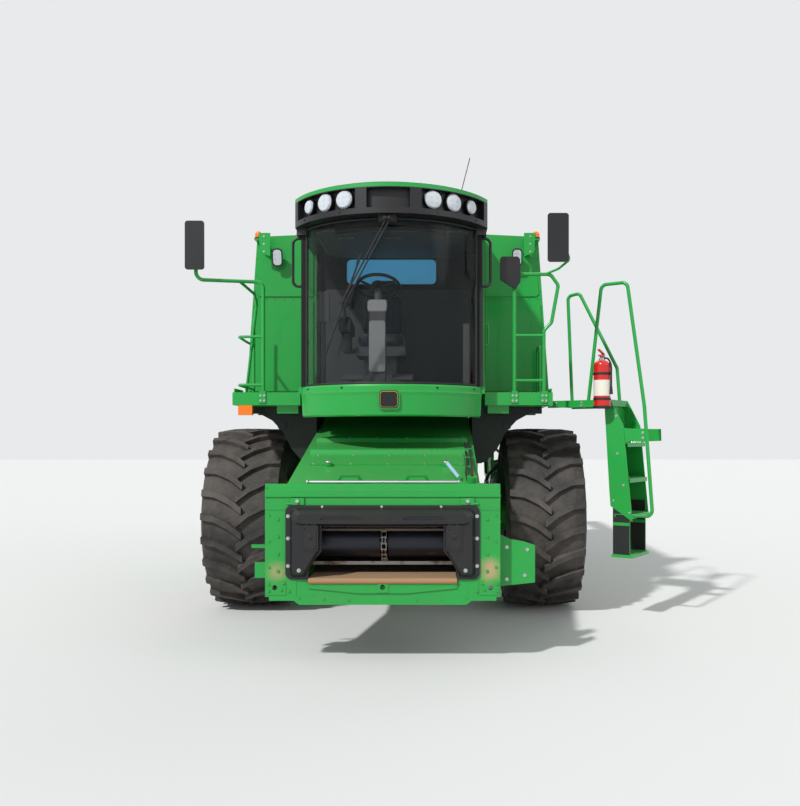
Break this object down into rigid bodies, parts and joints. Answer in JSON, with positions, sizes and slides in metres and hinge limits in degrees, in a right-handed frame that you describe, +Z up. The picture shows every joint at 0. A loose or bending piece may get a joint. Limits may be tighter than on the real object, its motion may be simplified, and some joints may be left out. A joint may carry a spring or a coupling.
{
  "type": "combine harvester",
  "caption": "Self-propelled combine harvester without header: feeder house, glazed cab, grain tank, folded unloading auger, engine house, straw hood and swing-out ladder.",
  "frame": {"origin": "middle of the machine's outline on the ground", "axes": "+Z up, -Y to the front, +X to the machine's left"},
  "size_m": [4.4949, 8.7799, 4.4872],
  "materials": {
    "green_paint": "satin",
    "dark_frame": "satin",
    "wheel_yellow": "satin",
    "tyre_rubber": "dusty",
    "black_plastic": "satin",
    "steel": "satin",
    "cast_block": "rough",
    "lamp_lens": "gloss",
    "amber_lens": "gloss",
    "red_lens": "gloss",
    "tinted_glass": "gloss",
    "seat_fabric": "woven",
    "red_paint": "gloss"
  },
  "bodies": {
    "root": {"main_frame": "dark_frame", "front_axle": "green_paint", "separator_body": "green_paint", "cleaning_shoe": "green_paint", "rear_hood": "green_paint", "grain_elevator": "green_paint", "grain_tank": "green_paint", "engine_house": "green_paint", "engine_block": "cast_block", "exhaust_stack": "steel", "rear_ladder": "green_paint", "rear_lamps": "red_lens", "auger_elbow": "green_paint", "cab_shell": "green_paint", "cab_roof": "black_plastic", "roof_lamps": "lamp_lens", "windscreen": "tinted_glass", "cab_glass": "tinted_glass", "cab_skirt": "green_paint", "cab_interior": "black_plastic", "operator_seat": "seat_fabric", "steering_wheel": "black_plastic", "wiper": "black_plastic", "grab_handles": "black_plastic", "whip_antenna": "black_plastic", "platform_left": "green_paint", "platform_right": "green_paint", "mirrors": "black_plastic", "corner_beacons": "amber_lens", "rear_axle": "green_paint"},
    "chopper": {"chopper_rotor": "steel"},
    "left_spreader": {"spreader_left": "steel"},
    "right_spreader": {"spreader_right": "steel"},
    "left_lid": {"tank_lid_left": "green_paint"},
    "right_lid": {"tank_lid_right": "green_paint"},
    "radiator_screen": {"rotary_screen": "black_plastic"},
    "left_shield": {"side_shield_left": "green_paint"},
    "right_shield": {"side_shield_right": "green_paint"},
    "auger": {"auger_tube": "green_paint"},
    "door": {"cab_door": "green_paint"},
    "swing_ladder": {"ladder": "green_paint", "extinguisher": "red_paint"},
    "feeder": {"feeder_house": "green_paint", "feeder_face": "green_paint", "feeder_shroud": "black_plastic", "feeder_chain": "steel"},
    "drum": {"feeder_drum": "steel"},
    "barrels": {"lift_barrels": "dark_frame"},
    "rods": {"lift_rods": "steel"},
    "front_wheel_left": {"front_tyre_left": "tyre_rubber", "front_rim_left": "wheel_yellow"},
    "front_wheel_right": {"front_tyre_right": "tyre_rubber", "front_rim_right": "wheel_yellow"},
    "left_knuckle": {"knuckle_left": "green_paint"},
    "right_knuckle": {"knuckle_right": "green_paint"},
    "tie_rod_body": {"tie_rod": "steel"},
    "rear_wheel_left": {"rear_tyre_left": "tyre_rubber", "rear_rim_left": "wheel_yellow"},
    "rear_wheel_right": {"rear_tyre_right": "tyre_rubber", "rear_rim_right": "wheel_yellow"}
  },
  "joints": [
    {"name": "feeder_lift", "type": "hinge", "parent": "root", "child": "feeder", "pos_m": [-0.31471, -1.86, 1.8], "axis": [-1, 0, 0], "range_deg": [-8, 11]},
    {"name": "feeder_drum_spin", "type": "hinge", "parent": "feeder", "child": "drum", "pos_m": [-0.31471, -4.01, 0.93], "axis": [1, 0, 0], "continuous": true},
    {"name": "lift_barrel_tilt", "type": "hinge", "parent": "root", "child": "barrels", "pos_m": [-0.31471, -1.98, 0.8], "axis": [-1, 0, 0], "range_deg": [-9, 12]},
    {"name": "lift_rod_extend", "type": "slide", "parent": "barrels", "child": "rods", "axis": [0, -1, 0], "range_m": [-0.145, 0.2]},
    {"name": "front_wheel_left_roll", "type": "hinge", "parent": "root", "child": "front_wheel_left", "pos_m": [1.17529, -1.71, 0.925], "axis": [1, 0, 0], "continuous": true},
    {"name": "front_wheel_right_roll", "type": "hinge", "parent": "root", "child": "front_wheel_right", "pos_m": [-1.80471, -1.71, 0.925], "axis": [1, 0, 0], "continuous": true},
    {"name": "steer_left", "type": "hinge", "parent": "root", "child": "left_knuckle", "pos_m": [0.80529, 1.86, 0.72], "axis": [0, 0, 1], "range_deg": [-32, 32]},
    {"name": "steer_right", "type": "hinge", "parent": "root", "child": "right_knuckle", "pos_m": [-1.4347, 1.86, 0.72], "axis": [0, 0, 1], "range_deg": [-32, 32]},
    {"name": "tie_rod_turn", "type": "hinge", "parent": "left_knuckle", "child": "tie_rod_body", "pos_m": [0.76529, 2.075, 0.65], "axis": [0, 0, 1], "range_deg": [-32, 32]},
    {"name": "rear_wheel_left_roll", "type": "hinge", "parent": "left_knuckle", "child": "rear_wheel_left", "pos_m": [1.13529, 1.86, 0.72], "axis": [1, 0, 0], "continuous": true},
    {"name": "rear_wheel_right_roll", "type": "hinge", "parent": "right_knuckle", "child": "rear_wheel_right", "pos_m": [-1.7647, 1.86, 0.72], "axis": [1, 0, 0], "continuous": true},
    {"name": "auger_swing", "type": "hinge", "parent": "root", "child": "auger", "pos_m": [1.04029, -1.265, 3.35], "axis": [0, 0, -1], "range_deg": [0, 100]},
    {"name": "ladder_swing", "type": "hinge", "parent": "root", "child": "swing_ladder", "pos_m": [1.2353, -2.285, 2.06], "axis": [0, 0, -1], "range_deg": [-34, 56]},
    {"name": "cab_door_open", "type": "hinge", "parent": "root", "child": "door", "pos_m": [0.56529, -1.83, 2.9], "axis": [0, 0, 1], "range_deg": [0, 75]},
    {"name": "left_lid_open", "type": "hinge", "parent": "root", "child": "left_lid", "pos_m": [0.8293, -0.41, 3.8403], "axis": [0, 1, 0], "range_deg": [0, 95]},
    {"name": "right_lid_open", "type": "hinge", "parent": "root", "child": "right_lid", "pos_m": [-1.7787, -0.41, 3.8403], "axis": [0, -1, 0], "range_deg": [0, 95]},
    {"name": "left_shield_open", "type": "hinge", "parent": "root", "child": "left_shield", "pos_m": [0.77529, 0.79, 2.226], "axis": [0, -1, 0], "range_deg": [0, 70]},
    {"name": "right_shield_open", "type": "hinge", "parent": "root", "child": "right_shield", "pos_m": [-1.40471, 0.79, 2.226], "axis": [0, 1, 0], "range_deg": [0, 70]},
    {"name": "radiator_screen_spin", "type": "hinge", "parent": "root", "child": "radiator_screen", "pos_m": [-1.7947, 1.69, 2.88], "axis": [1, 0, 0], "continuous": true},
    {"name": "chopper_spin", "type": "hinge", "parent": "root", "child": "chopper", "pos_m": [-0.31471, 2.94, 1.5], "axis": [1, 0, 0], "continuous": true},
    {"name": "left_spreader_spin", "type": "hinge", "parent": "root", "child": "left_spreader", "pos_m": [0.05529, 3.54, 1.08], "axis": [0, 0, 1], "continuous": true},
    {"name": "right_spreader_spin", "type": "hinge", "parent": "root", "child": "right_spreader", "pos_m": [-0.68471, 3.54, 1.08], "axis": [0, 0, 1], "continuous": true}
  ],
  "couplings": [
    {"joint": "lift_barrel_tilt", "follows": "feeder_lift", "ratio": 1.07},
    {"joint": "lift_rod_extend", "follows": "feeder_lift", "m_per_rad": 1},
    {"joint": "steer_right", "follows": "steer_left", "ratio": 1},
    {"joint": "tie_rod_turn", "follows": "steer_left", "ratio": -1}
  ]
}
